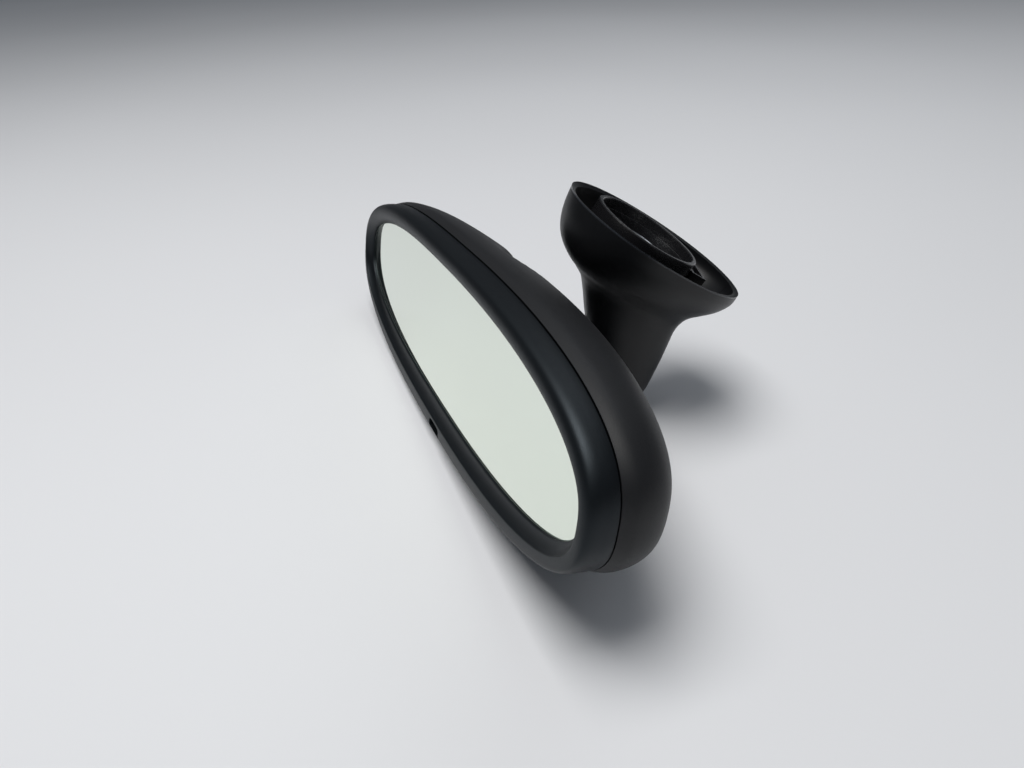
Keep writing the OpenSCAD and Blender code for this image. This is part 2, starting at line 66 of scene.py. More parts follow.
# ---------------------------------------------------------------- settings
class MirrorHeadSizes(bpy.types.PropertyGroup):
    """Sizes of the head, from the front of the glass to the back of the housing"""

    glass_half_length: FloatProperty(
        name="Glass Half Length", description="Half the length of the visible glass",
        default=109 * MM, unit="LENGTH")
    glass_half_height: FloatProperty(
        name="Glass Half Height", description="Half the height of the visible glass",
        default=24 * MM, unit="LENGTH")
    side_band: FloatProperty(
        name="Side Band", description="Width of the bezel at its two ends",
        default=7 * MM, unit="LENGTH")
    top_band: FloatProperty(
        name="Top Band", description="Width of the bezel along the top",
        default=7.2 * MM, unit="LENGTH")
    chin_band: FloatProperty(
        name="Chin Band", description="Width of the bezel along the chin",
        default=9.8 * MM, unit="LENGTH")
    crown: FloatProperty(
        name="Crown", description="How far the bezel stands in front of the glass",
        default=3.5 * MM, unit="LENGTH")
    glass_power: FloatProperty(
        name="Glass Squareness", description="2 is an ellipse, more is squarer", default=2.45)
    seam_power: FloatProperty(
        name="Seam Squareness", description="Squareness of the outline at the seam", default=2.75)
    chin_power: FloatProperty(
        name="Chin Squareness", description="Squareness of the outline's lower half", default=2.42)
    seam_depth: FloatProperty(
        name="Seam Depth", description="Place of the seam behind the glass face",
        default=4.4 * MM, unit="LENGTH")
    seam_gap: FloatProperty(
        name="Seam Gap", description="Width of the dark line between bezel and housing",
        default=0.3 * MM, unit="LENGTH")
    housing_depth: FloatProperty(
        name="Housing Depth", description="Depth of the housing behind the seam",
        default=31 * MM, unit="LENGTH")
    housing_bulge: FloatProperty(
        name="Housing Bulge", description="How far the housing stands past the bezel",
        default=1.2 * MM, unit="LENGTH")
    ball_depth: FloatProperty(
        name="Ball Depth", description="Depth of the ball's centre behind the glass face",
        default=19.2 * MM, unit="LENGTH")
    turn: FloatProperty(
        name="Turn", description="Turn of the head about the vertical",
        default=math.radians(17.4), unit="ROTATION")
    tilt: FloatProperty(
        name="Tilt", description="Tilt of the head, negative to look upwards",
        default=math.radians(-10.7), unit="ROTATION")
    roll: FloatProperty(
        name="Roll", description="Roll of the head in its own plane",
        default=math.radians(-4.7), unit="ROTATION")
    around: IntProperty(
        name="Corners Around", description="Corners in each ring of the bezel and housing",
        default=288, min=48, max=512)


class MirrorFootSizes(bpy.types.PropertyGroup):
    """Sizes of the windscreen foot"""

    rake: FloatProperty(
        name="Rake", description="Slope of the windscreen face",
        default=math.radians(33.5), unit="ROTATION")
    mouth_half_width: FloatProperty(
        name="Mouth Half Width", description="Half the width of the open mouth",
        default=27.4 * MM, unit="LENGTH")
    wall: FloatProperty(
        name="Cover Wall", description="Wall of the foot covers", default=1.8 * MM, unit="LENGTH")
    parting: FloatProperty(
        name="Parting", description="Gap between the two covers", default=0.2 * MM, unit="LENGTH")
    ring_radius: FloatProperty(
        name="Ring Radius", description="Outer radius of the mounting ring",
        default=19 * MM, unit="LENGTH")
    ring_wall: FloatProperty(
        name="Ring Wall", description="Wall of the mounting ring",
        default=1.5 * MM, unit="LENGTH")
    ring_proud: FloatProperty(
        name="Ring Stand-out", description="How far the ring stands out of the mouth",
        default=1.3 * MM, unit="LENGTH")
    ring_seat: FloatProperty(
        name="Ring Seat", description="Depth of the stretch that takes the windscreen button",
        default=3.5 * MM, unit="LENGTH")
    ring_depth: FloatProperty(
        name="Ring Depth", description="Depth of the ring's bore", default=8 * MM, unit="LENGTH")
    around: IntProperty(
        name="Corners Around", description="Corners in each ring of the covers",
        default=192, min=48, max=512)


def srgb(code):
    """Linear colour, with alpha, from an sRGB hex value."""
    parts = [int(code[i:i + 2], 16) / 255 for i in (1, 3, 5)]
    return tuple(p / 12.92 if p <= 0.04045 else ((p + 0.055) / 1.055) ** 2.4 for p in parts) + (1.0,)


def colour_property(name, description, code):
    return FloatVectorProperty(
        name=name, description=description, subtype="COLOR", size=4, min=0, max=1, default=srgb(code))


class MirrorColours(bpy.types.PropertyGroup):
    """Colours of the visible finishes"""

    bezel: colour_property("Bezel", "Grained black of the bezel", "#06080B")
    housing: colour_property("Housing", "Grained black of the rear housing", "#131417")
    covers: colour_property("Covers", "Satin black of the foot covers", "#07080B")
    silver: colour_property("Silvering", "Reflection of the dimming cell", "#F0F7EB")
    floor: colour_property("Floor", "Paper under the mirror", "#DCDDE0")


# ---------------------------------------------------------------- small helpers
def signed_pow(value, power):
    return math.copysign(abs(value) ** power, value)


def lerp(a, b, t):
    return a + (b - a) * t


def smooth(rows, parts):
    """More rows between the given ones, on a curve through them all."""
    out = []
    for i in range(len(rows) - 1):
        before = rows[max(i - 1, 0)]
        after = rows[min(i + 2, len(rows) - 1)]
        for k in range(parts):
            t = k / parts
            out.append([
                0.5 * (2 * q + (r - p) * t + (2 * p - 5 * q + 4 * r - s) * t * t
                       + (3 * q - p - 3 * r + s) * t ** 3)
                for p, q, r, s in zip(before, rows[i], rows[i + 1], after)])
    return out + [list(rows[-1])]


def soft_min(a, b, k):
    """The smaller of two depths, with a fillet of about k between them."""
    h = max(k - abs(a - b), 0) / k
    return min(a, b) - h * h * k / 4


def sweep(rows, around, place, closed=False):
    """A skin grown ring by ring: place(row, share of the turn) gives each corner."""
    bm = bmesh.new()
    share = bm.verts.layers.float.new("share")
    made = bmesh.ops.create_circle(bm, segments=around, radius=1.0)
    for vert in made["verts"]:
        vert[share] = math.atan2(vert.co.y, vert.co.x)
        vert.co = place(rows[0], vert[share])
    rim = bm.edges[:]
    for row in rows[1:]:
        grown = bmesh.ops.extrude_edge_only(bm, edges=rim)["geom"]
        rim = [item for item in grown if isinstance(item, bmesh.types.BMEdge)]
        for vert in (item for item in grown if isinstance(item, bmesh.types.BMVert)):
            vert.co = place(row, vert[share])
    if closed:
        bmesh.ops.remove_doubles(bm, verts=bm.verts, dist=1e-6)
    bmesh.ops.recalc_face_normals(bm, faces=bm.faces)
    return bm


def revolve(profile, steps=128):
    """A solid of revolution about Z from a profile of [radius, height] corners."""
    bm = bmesh.new()
    corners = [bm.verts.new((r, 0, z)) for r, z in profile]
    edges = [bm.edges.new((corners[i], corners[(i + 1) % len(corners)]))
             for i in range(len(corners))]
    bmesh.ops.spin(bm, geom=corners + edges, axis=(0, 0, 1), cent=(0, 0, 0),
                   steps=steps, angle=2 * math.pi, use_merge=True)
    bmesh.ops.recalc_face_normals(bm, faces=bm.faces)
    return bm


def finish_piece(bm, name, body, material, stands_for=(), place=None, crease=35):
    """Turns a bmesh into a finished piece that rides on a body."""
    if place is not None:
        bmesh.ops.transform(bm, matrix=place, verts=bm.verts)
    mesh = bpy.data.meshes.new(name)
    bm.to_mesh(mesh)
    bm.free()
    mesh.polygons.foreach_set("use_smooth", [True] * len(mesh.polygons))
    mesh.set_sharp_from_angle(angle=math.radians(crease))
    piece = bpy.data.objects.new(name, mesh)
    bpy.context.scene.collection.objects.link(piece)
    for each in material if isinstance(material, (list, tuple)) else [material]:
        mesh.materials.append(each)
    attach(piece, body)
    if stands_for:
        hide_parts(*stands_for)
    return piece


def head_matrix():
    """From the head's own frame to the frame of the whole part."""
    sizes = bpy.context.scene.mirror_head
    return (Matrix.Translation(BALL) @ Matrix.Rotation(sizes.turn, 4, "Z")
            @ Matrix.Rotation(sizes.tilt, 4, "X") @ Matrix.Rotation(sizes.roll, 4, "Y")
            @ Matrix.Translation((0, -sizes.ball_depth, 0)))


def foot_matrix():
    """From the mounting ring's frame to the frame of the whole part."""
    return Matrix.Rotation(-bpy.context.scene.mirror_foot.rake, 4, "X")


# ---------------------------------------------------------------- finishes
def node(tree, kind, settings=None, **sockets):
    """Adds a node: settings are its fields, and each socket takes a value or an output."""
    made = tree.nodes.new(kind)
    for field, value in (settings or {}).items():
        setattr(made, field, value)
    for key, value in sockets.items():
        label = key.replace("_", " ")
        socket = made.inputs[int(key[1:])] if key[1:].isdigit() else made.inputs[label]
        if isinstance(value, bpy.types.NodeSocket):
            tree.links.new(value, socket)
        else:
            socket.default_value = value
    return made


def ramp(tree, fac, stops):
    """A colour ramp from [position, colour] stops."""
    made = node(tree, "ShaderNodeValToRGB", Fac=fac)
    bar = made.color_ramp
    while len(bar.elements) < len(stops):
        bar.elements.new(0.5)
    for element, (position, colour) in zip(bar.elements, stops):
        element.position = position
        element.color = colour
    return made.outputs["Color"]


def new_material(name):
    """An empty material with its shader, and the place on the object that patterns read."""
    material = bpy.data.materials.new(name)
    material.use_nodes = True
    tree = material.node_tree
    shader = tree.nodes["Principled BSDF"]
    where = node(tree, "ShaderNodeTexCoord").outputs["Object"]
    return material, tree, shader, where


def shade(shader, **values):
    for key, value in values.items():
        shader.inputs[key.replace("_", " ")].default_value = value


def tinted(colour, factor):
    return tuple(min(1, c * factor) for c in colour[:3]) + (1.0,)


def moulded(name, colour, grain_mm, rough, bump, spread=0.06, **extra):
    """A moulded plastic: fine spark-eroded grain, faint flow clouds and uneven gloss."""
    material, tree, shader, where = new_material(name)
    grain = node(tree, "ShaderNodeTexNoise", Vector=where, Scale=1 / (grain_mm * MM),
                 Detail=3.0, Roughness=0.6)
    clouds = node(tree, "ShaderNodeTexNoise", Vector=where, Scale=18.0, Detail=2.0)
    tone = ramp(tree, clouds.outputs["Fac"],
                [(0.3, tinted(colour, 1 - 2 * spread)), (0.7, tinted(colour, 1 + 2 * spread))])
    tree.links.new(tone, shader.inputs["Base Color"])
    gloss = node(tree, "ShaderNodeMapRange", Value=grain.outputs["Fac"],
                 From_Min=0.3, From_Max=0.7, To_Min=rough - spread, To_Max=rough + spread)
    tree.links.new(gloss.outputs["Result"], shader.inputs["Roughness"])
    relief = node(tree, "ShaderNodeBump", Height=grain.outputs["Fac"],
                  Strength=bump, Distance=0.05 * MM)
    tree.links.new(relief.outputs["Normal"], shader.inputs["Normal"])
    shade(shader, IOR=1.5, **extra)
    return material


def metal(name, colour, rough, streak_mm, stretch=(1, 1, 12), **extra):
    """A worked metal: fine streaks along one direction and a little wear in its gloss."""
    material, tree, shader, where = new_material(name)
    turned = node(tree, "ShaderNodeMapping", Vector=where, Scale=stretch)
    streaks = node(tree, "ShaderNodeTexNoise", Vector=turned.outputs["Vector"],
                   Scale=1 / (streak_mm * MM), Detail=4.0, Roughness=0.65)
    tone = ramp(tree, streaks.outputs["Fac"],
                [(0.25, tinted(colour, 0.86)), (0.75, tinted(colour, 1.08))])
    tree.links.new(tone, shader.inputs["Base Color"])
    gloss = node(tree, "ShaderNodeMapRange", Value=streaks.outputs["Fac"],
                 From_Min=0.3, From_Max=0.7, To_Min=rough * 0.8, To_Max=rough * 1.25)
    tree.links.new(gloss.outputs["Result"], shader.inputs["Roughness"])
    relief = node(tree, "ShaderNodeBump", Height=streaks.outputs["Fac"],
                  Strength=0.15, Distance=0.03 * MM)
    tree.links.new(relief.outputs["Normal"], shader.inputs["Normal"])
    shade(shader, Metallic=1.0, **extra)
    return material


def bezel_abs():
    # ABS, injection moulded in a spark-eroded tool: a matt skin that sparkles faintly where
    # the light grazes it. The real grit is near 0.1 mm, drawn at 0.22 mm so that it shows.
    colours = bpy.context.scene.mirror_colours
    return moulded("ABS moulded spark grain", colours.bezel, 0.22, 0.46, 0.5,
                   Specular_IOR_Level=0.36, Specular_Tint=(0.78, 0.9, 1.0, 1.0))


def housing_abs():
    # ABS with a slightly coarser and duller grain than the bezel.
    colours = bpy.context.scene.mirror_colours
    return moulded("ABS moulded dull grain", colours.housing, 0.26, 0.52, 0.5,
                   Specular_IOR_Level=0.4)


def cover_pp():
    # Polypropylene with a satin finish, smoother and blacker than the housing.
    colours = bpy.context.scene.mirror_colours
    return moulded("Polypropylene satin", colours.covers, 0.3, 0.4, 0.22,
                   Specular_IOR_Level=0.4)


def rim_painted_highlight():
    # The same polypropylene on the rim, glossier, with a pale colour that is a painted highlight along its edge.
    return moulded("Polypropylene rim with painted highlight", srgb("#2B2E33"), 0.3, 0.26, 0.1,
                   Specular_IOR_Level=0.6)


def silvered_cell():
    # Soda-lime glass silvered behind a pale green dimming gel: a clean mirror that takes a
    # little green. The gel's clouds are broad and hardly there.
    material, tree, shader, where = new_material("Glass silvered behind dimming gel")
    colour = bpy.context.scene.mirror_colours.silver
    clouds = node(tree, "ShaderNodeTexNoise", Vector=where, Scale=9.0, Detail=1.0)
    tone = ramp(tree, clouds.outputs["Fac"],
                [(0.3, tinted(colour, 0.97)), (0.7, tinted(colour, 1.0))])
    tree.links.new(tone, shader.inputs["Base Color"])
    shade(shader, Metallic=1.0, Roughness=0.015)
    return material


def ground_edge():
    # The edge of the sheet after grinding: a frosted pale green band.
    material, tree, shader, where = new_material("Glass ground edge")
    grit = node(tree, "ShaderNodeTexNoise", Vector=where, Scale=1 / (0.15 * MM), Detail=2.0)
    tone = ramp(tree, grit.outputs["Fac"], [(0.3, srgb("#8FA096")), (0.7, srgb("#C5D2C8"))])
    tree.links.new(tone, shader.inputs["Base Color"])
    shade(shader, Roughness=0.5, IOR=1.52)
    return material


def smoked_lens():
    # Polycarbonate, moulded clear and dyed nearly black, with a polished face.
    material, tree, shader, where = new_material("Polycarbonate smoked")
    flow = node(tree, "ShaderNodeTexNoise", Vector=where, Scale=260.0, Detail=1.0)
    tone = ramp(tree, flow.outputs["Fac"], [(0.3, srgb("#050506")), (0.7, srgb("#0C0B0E"))])
    tree.links.new(tone, shader.inputs["Base Color"])
    shade(shader, Roughness=0.12, IOR=1.58)
    return material


# Slots whose finish has a function of its own
OWN_FINISHES = {
    "bezel_plastic": bezel_abs, "housing_plastic": housing_abs, "cover_plastic": cover_pp,
    "front_glass": silvered_cell, "mirror_glass": silvered_cell, "sensor_lens": smoked_lens}

# Slots made from the two general finishes: maker, name, colour, then its measures
TABLE_FINISHES = {
    # Clear epoxy over a silicon die, which looks dark red.
    "sensor_chip": (moulded, "Epoxy over sensor die", "#3A1514", 0.3, 0.18, 0.05),
    # A clear gel, a little green even when it is not dimmed.
    "dimming_gel": (moulded, "Dimming gel", "#B9CDBB", 1.5, 0.1, 0.02),
    # Filled epoxy, grey and slightly glossy.
    "cell_seal": (moulded, "Epoxy seal", "#3B3C3E", 0.4, 0.35, 0.1),
    # Copper alloy strip with a dull tin coat, rolled along its length.
    "bus_metal": (metal, "Tinned strip", "#C9BE9E", 0.35, 0.3, (12, 1, 1)),
    # Black foam tape with open cells at its cut edge.
    "foam": (moulded, "Polyethylene foam", "#1A1A1A", 0.5, 0.9, 1.0),
    # Glass-filled nylon, glossy where the tool was polished.
    "moulded_plastic": (moulded, "Glass-filled nylon", "#141416", 0.4, 0.27, 0.16),
    # Green solder mask over the weave of the board.
    "board_laminate": (moulded, "Solder mask", "#0F5A30", 0.6, 0.3, 0.1),
    # Black epoxy packages, matt from the mould.
    "chip_package": (moulded, "Moulded epoxy package", "#1E1E1F", 0.1, 0.6, 0.4),
    # Undyed nylon, cream white.
    "connector_nylon": (moulded, "Natural nylon", "#E5E1D0", 0.3, 0.45, 0.1),
    # Steel, zinc plated and passivated: silver with a cold sheen.
    "zinc_screws": (metal, "Zinc plated steel", "#B9BCC0", 0.3, 0.2, (1, 1, 1)),
    # Black PVC, drawn smooth.
    "wire_jacket": (moulded, "PVC jacket", "#17171A", 0.5, 0.48, 0.1),
    # Clear acrylic with polished ends.
    "light_pipe": (moulded, "Clear acrylic", "#DDE6EA", 1.0, 0.06, 0.02),
    # Sheet steel, with the lines of the rolling mill.
    "stamped_steel": (metal, "Pressed sheet steel", "#8F9294", 0.38, 0.25, (6, 1, 1)),
    # Undyed acetal, waxy white.
    "liner_acetal": (moulded, "Natural acetal", "#DEDDD4", 0.4, 0.35, 0.06),
    # Turned and phosphated: dark grey, slightly oily.
    "ball_steel": (metal, "Phosphated steel", "#56585C", 0.42, 0.18, (1, 1, 5)),
    # Cast zinc, left as it comes from the die.
    "die_cast": (metal, "Zinc die casting", "#8C8F93", 0.45, 0.5, (1, 1, 1)),
    # Drawn wire, bright and hard.
    "spring_steel": (metal, "Drawn spring wire", "#D5D7DA", 0.16, 0.2, (1, 1, 1)),
    # A thin flash of gold over nickel.
    "pin_plating": (metal, "Gold flashed pins", "#D9B65C", 0.25, 0.1, (1, 1, 1))}
SLOT_FINISHES = {}


def slot_finish(slot):
    """The finish of one material slot, made once and kept."""
    if slot not in SLOT_FINISHES:
        if slot in OWN_FINISHES:
            SLOT_FINISHES[slot] = OWN_FINISHES[slot]()
        else:
            maker, name, colour, *measures = TABLE_FINISHES[slot]
            SLOT_FINISHES[slot] = maker(name, srgb(colour), *measures)
    return SLOT_FINISHES[slot]


# ---------------------------------------------------------------- head outlines
def oval(a, top, chin, power, chin_power, turn):
    """A corner of the head's outline, whose lower half may be taller and rounder."""
    c, s = math.cos(turn), math.sin(turn)
    p = power if s >= 0 else chin_power
    return a * signed_pow(c, 2 / p), (top if s >= 0 else chin) * signed_pow(s, 2 / p)


def band_corner(sizes, share, turn):
    """A corner of the outline at a share of the bezel's band, 0 at the glass."""
    return oval(sizes.glass_half_length + share * sizes.side_band,
                sizes.glass_half_height + share * sizes.top_band,
                sizes.glass_half_height + share * sizes.chin_band,
                lerp(sizes.glass_power, sizes.seam_power, share),
                lerp(sizes.glass_power, sizes.chin_power, share), turn)


# Bezel section from the glass to the seam: share of the band, then height in front of the
# glass as a share of the crown, at the chin and along the top. The chin has a low steep wall,
# a scooped chamfer, a crisp crease and a flat lip. The top is a plain roll.
BEZEL_CHAMFER = [
    [0.0, -0.06, -0.06], [0.0, 0.05, 0.05], [0.002, 0.14, 0.14], [0.012, 0.20, 0.22],
    [0.035, 0.235, 0.32], [0.12, 0.30, 0.56], [0.20, 0.395, 0.72], [0.28, 0.53, 0.84],
    [0.35, 0.69, 0.92], [0.395, 0.82, 0.955], [0.43, 0.945, 0.975]]
BEZEL_LIP = [
    [0.43, 0.945, 0.975], [0.45, 0.975, 0.985], [0.50, 0.99, 1.0], [0.60, 1.0, 0.985],
    [0.70, 1.0, 0.93], [0.80, 0.985, 0.82], [0.87, 0.94, 0.69], [0.92, 0.84, 0.52],
    [0.955, 0.68, 0.33], [0.98, 0.43, 0.1], [0.993, 0.05, -0.15], [1.0, -0.5, -0.5]]


# Back of the bezel: the spigot that enters the housing, and the pocket that takes the glass
SPIGOT_SHARE = 0.66
SPIGOT_LENGTH = 4.2 * MM
POCKET_SHARE = 0.42
POCKET_FLOOR = 0.03 * MM

# Glare sensor slot in the chin: its place along the head and across the band, and its size
SLOT_X = 9 * MM
SLOT_SHARE = 0.72
SLOT_HALF_LENGTH = 5.5 * MM
SLOT_RADIUS = 1.9 * MM
SLOT_FLOOR = 1.2 * MM
LENS_PLAY = 0.1 * MM


def capsule(half_length, radius, depth, bevel, around=48):
    """A rounded bar lying along X, with its face towards -Y."""
    bm = bmesh.new()
    bmesh.ops.create_circle(bm, segments=around, radius=radius, cap_ends=True)
    for vert in bm.verts:
        vert.co.x += math.copysign(half_length - radius, vert.co.x)
        vert.co = (vert.co.x, 0, vert.co.y)
    grown = bmesh.ops.extrude_face_region(bm, geom=bm.faces[:])["geom"]
    face = [g for g in grown if isinstance(g, bmesh.types.BMVert)]
    bmesh.ops.translate(bm, verts=face, vec=(0, -depth, 0))
    bmesh.ops.recalc_face_normals(bm, faces=bm.faces)
    front = [f for f in bm.faces if len(f.verts) > 8 and f.calc_center_median().y < -depth / 2]
    for step in ((1, 2) if bevel else ()):
        bmesh.ops.inset_region(bm, faces=front, thickness=bevel / 2, depth=bevel / (2 * step))
    return bm


def lens_place(sizes, depth):
    """The glare sensor's place in the chin, at a depth behind the glass face."""
    return Vector((SLOT_X, depth, -sizes.glass_half_height - SLOT_SHARE * sizes.chin_band))


def carve(bm, tool):
    """The first body with the second cut out of it."""
    made = []
    for body, name in ((bm, "carved"), (tool, "tool")):
        mesh = bpy.data.meshes.new(name)
        body.to_mesh(mesh)
        body.free()
        made.append(bpy.data.objects.new(name, mesh))
        bpy.context.scene.collection.objects.link(made[-1])
    cut = made[0].modifiers.new("cut", "BOOLEAN")
    cut.operation, cut.solver, cut.object = "DIFFERENCE", "EXACT", made[1]
    result = bmesh.new()
    result.from_object(made[0], bpy.context.evaluated_depsgraph_get())
    for obj in made:
        bpy.data.meshes.remove(obj.data)
    return result


class MIRROR_OT_bezel(bpy.types.Operator):
    """Sweep the bezel round the glass, with its chamfer, crease and rounded seam edge"""

    bl_idname = "mirror.bezel"
    bl_label = "Bezel"

    def execute(self, context):
        sizes = context.scene.mirror_head
        face = smooth(BEZEL_CHAMFER, 2)[:-1] + smooth(BEZEL_LIP, 2)
        seam, end = sizes.seam_depth, sizes.seam_depth + SPIGOT_LENGTH
        back = [[1.0, seam - 0.25 * MM], [0.99, seam - 0.06 * MM], [0.965, seam],
                [SPIGOT_SHARE, seam], [SPIGOT_SHARE, end], [POCKET_SHARE, end],
                [POCKET_SHARE, POCKET_FLOOR], [0.0, POCKET_FLOOR]]
        back = [[share] + 2 * [-depth / sizes.crown] for share, depth in back] + [face[0]]

        def place(row, turn):
            # the chin's section passes smoothly into the top's at the two ends
            x, z = band_corner(sizes, row[0], turn)
            upper = min(max(0.5 + 0.9 * z / sizes.glass_half_height, 0), 1)
            upper *= upper * (3 - 2 * upper)
            return x, -sizes.crown * lerp(row[1], row[2], upper), z

        bm = sweep(face + back, sizes.around, place, closed=True)
        slot = capsule(SLOT_HALF_LENGTH, SLOT_RADIUS, 2 * sizes.crown, 0)
        bmesh.ops.translate(slot, verts=slot.verts, vec=lens_place(sizes, SLOT_FLOOR))
        bm = carve(bm, slot)
        finish_piece(bm, "bezel_skin", "head", slot_finish("bezel_plastic"),
                     ["bezel"], head_matrix(), 40)
        return {"FINISHED"}


class MIRROR_OT_glass(bpy.types.Operator):
    """Lay the silvered glass with its ground edge inside the bezel"""

    bl_idname = "mirror.glass"
    bl_label = "Mirror Glass"

    def execute(self, context):
        sizes = context.scene.mirror_head
        rows = [[0.4, 2.0 * MM], [0.4, 0.05 * MM], [0.0, 0.05 * MM], [-0.03, 0.0]]

        def place(row, turn):
            x, z = band_corner(sizes, row[0], turn)
            return x, row[1], z

        bm = sweep(rows, sizes.around, place)
        bmesh.ops.holes_fill(bm, edges=[e for e in bm.edges if e.is_boundary])
        bmesh.ops.recalc_face_normals(bm, faces=bm.faces)
        for face in bm.faces:
            face.material_index = 0 if len(face.verts) > 8 else 1
        finish_piece(bm, "mirror_sheet", "head",
                     [slot_finish("front_glass"), ground_edge()], ["front_glass"],
                     head_matrix(), 5)
        return {"FINISHED"}


# Housing sections: share of its depth, and how far the outline has drawn in along the
# length and along the height, in millimetres
HOUSING_ROWS = [
    [0, 1.2, 0.9], [0.12, 0, 0.1], [0.28, 0.7, 0.9], [0.42, 3.2, 2.3], [0.55, 8.6, 4.1],
    [0.68, 18.5, 6.3], [0.80, 32, 9.0], [0.89, 47, 12.1], [0.95, 63, 16]]
RECESS_RADIUS = 21 * MM
RECESS_LEAN = math.radians(18)
RECESS_VALLEY = 29.9 * MM
RECESS_FLOOR = -10 * MM
NECK_HOLE = 14 * MM


def recess_depth(x, z):
    """How deep the back face lies inside the leaning channel, or None outside it."""
    axis = RECESS_VALLEY + RECESS_RADIUS - z * math.tan(RECESS_LEAN)
    below = max(RECESS_FLOOR - z, 0)
    reach = RECESS_RADIUS ** 2 - below ** 2 - x * x
    if reach <= 0:
        return None
    return axis - math.sqrt(reach) / math.cos(RECESS_LEAN)


class MIRROR_OT_housing(bpy.types.Operator):
    """Draw the rear housing with the scalloped recess where the neck enters"""

    bl_idname = "mirror.housing"
    bl_label = "Rear Housing"

    def execute(self, context):
        sizes = context.scene.mirror_head
        start = sizes.seam_depth + sizes.seam_gap
        rows = [[s, a * MM, b * MM, 0.0] for s, a, b in smooth(HOUSING_ROWS, 7)]
        last = rows[-1]
        rows += [last[:3] + [k / 26] for k in range(1, 27)]
        lip = [[0.3 * MM, 0.1 * MM], [0.5 * MM, 0.45 * MM], [0.5 * MM, 1.2 * MM],
               [0.5 * MM, 4 * MM]]
        rows = [[0, 3.2 * MM, 2.9 * MM, -1.0], [0, 1.5 * MM, 1.2 * MM, -2.0]] + rows
        rows += [last[:3] + [1 + i] for i in range(1, len(lip) + 1)]

        def place(row, turn):
            share, length_in, height_in, inner = row
            a = sizes.glass_half_length + sizes.side_band + sizes.housing_bulge - length_in
            top = sizes.glass_half_height + sizes.top_band + sizes.housing_bulge - height_in
            chin = sizes.glass_half_height + sizes.chin_band + sizes.housing_bulge - height_in
            x, z = oval(a, top, chin, sizes.seam_power - 0.3 * share, sizes.chin_power, turn)
            y = start + share * sizes.housing_depth
            if inner == -1:
                return x, start + 2 * MM, z
            if inner == -2:
                return x, start, z
            if inner > 0:
                t = min(inner, 1)
                # the hole's rim is met evenly all round, so the turn is taken by direction
                x = lerp(x, NECK_HOLE * math.cos(turn), t)
                z = lerp(z, NECK_HOLE * math.sin(turn), t)
                y += (1 - (1 - t) ** 2) * (1 - share) * sizes.housing_depth
            channel = recess_depth(x, z)
            if channel is not None:
                y = soft_min(y, channel, 2.6 * MM)
            if inner > 1:
                pull, sink = lip[int(inner) - 2]
                x, z = x * (1 - pull / NECK_HOLE), z * (1 - pull / NECK_HOLE)
                y -= sink
            return x, y, z

        bm = sweep(rows, sizes.around, place)
        finish_piece(bm, "housing_skin", "head",
                     slot_finish("housing_plastic"), ["rear_housing"], head_matrix(), 40)
        return {"FINISHED"}


AMBIENT_PLACE = Vector((-44 * MM, 33.6 * MM, 7 * MM))
AMBIENT_RADIUS = 3.0 * MM


class MIRROR_OT_lenses(bpy.types.Operator):
    """Set the glare sensor lens in the chin and the ambient window in the back"""

    bl_idname = "mirror.lenses"
    bl_label = "Sensor Lenses"

    def execute(self, context):
        sizes = context.scene.mirror_head
        lens = capsule(SLOT_HALF_LENGTH - LENS_PLAY, SLOT_RADIUS - LENS_PLAY, 1.4 * MM, 0.5 * MM)
        place = head_matrix() @ Matrix.Translation(lens_place(sizes, 0))
        finish_piece(lens, "glare_lens", "head", slot_finish("sensor_lens"),
                     ["sensor_window"], place, 30)
        # nearly round: the straight part between its two halves is hair thin
        window = capsule(AMBIENT_RADIUS, AMBIENT_RADIUS - 0.01 * MM, 1.2 * MM, 0.5 * MM)
        turned = Matrix.Rotation(math.pi, 4, "Z")
        place = head_matrix() @ Matrix.Translation(AMBIENT_PLACE) @ turned
        finish_piece(window, "ambient_lens", "head", slot_finish("sensor_lens"),
                     ["ambient_window"], place, 30)
        return {"FINISHED"}


# Foot outline: driver-side point, windscreen-side point (each Y, Z) and half width, in
# millimetres, from the mouth down to the knee
FOOT_ROWS = [
    [-24.2, 16.0, 31.4, -20.8, 27.4], [-26.5, 10.4, 29.4, -23.5, 26.6],
    [-27.8, 5.2, 25.5, -25.7, 24.4], [-27.8, 0.4, 20.7, -27.1, 21.4],
    [-26.3, -4.0, 16.4, -28.4, 18.4], [-23.7, -8.4, 13.4, -30.7, 15.8],
    [-21.4, -13.4, 11.1, -34.1, 14.2], [-20.4, -19.6, 9.6, -38.7, 13.3],
    [-19.8, -26.6, 7.7, -44.2, 12.9], [-18.8, -34.4, 5.3, -50.4, 12.6],
    [-17.2, -42.8, 2.8, -56.4, 12.0], [-15.0, -51.0, -0.2, -61.4, 10.6],
    [-12.2, -58.0, -3.6, -64.4, 7.4], [-9.8, -62.0, -6.0, -65.4, 3.6]]


def foot_corner(row, inset, out, power, turn):
    """A corner of one ring of the foot, inset from its outline and moved out of the mouth."""
    y0, z0, y1, z1, half_width = (v * MM for v in row)
    dy, dz = y1 - y0, z1 - z0
    half = math.hypot(dy, dz) / 2
    uy, uz = dy / half / 2, dz / half / 2
    c, s = math.cos(turn), math.sin(turn)
    across = (half_width - inset) * signed_pow(c, 2 / power)
    along = (half - inset) * signed_pow(s, 2 / power)
    cy, cz = (y0 + y1) / 2 - out * uz, (z0 + z1) / 2 + out * uy
    return Vector((across, cy + along * uy, cz + along * uz))


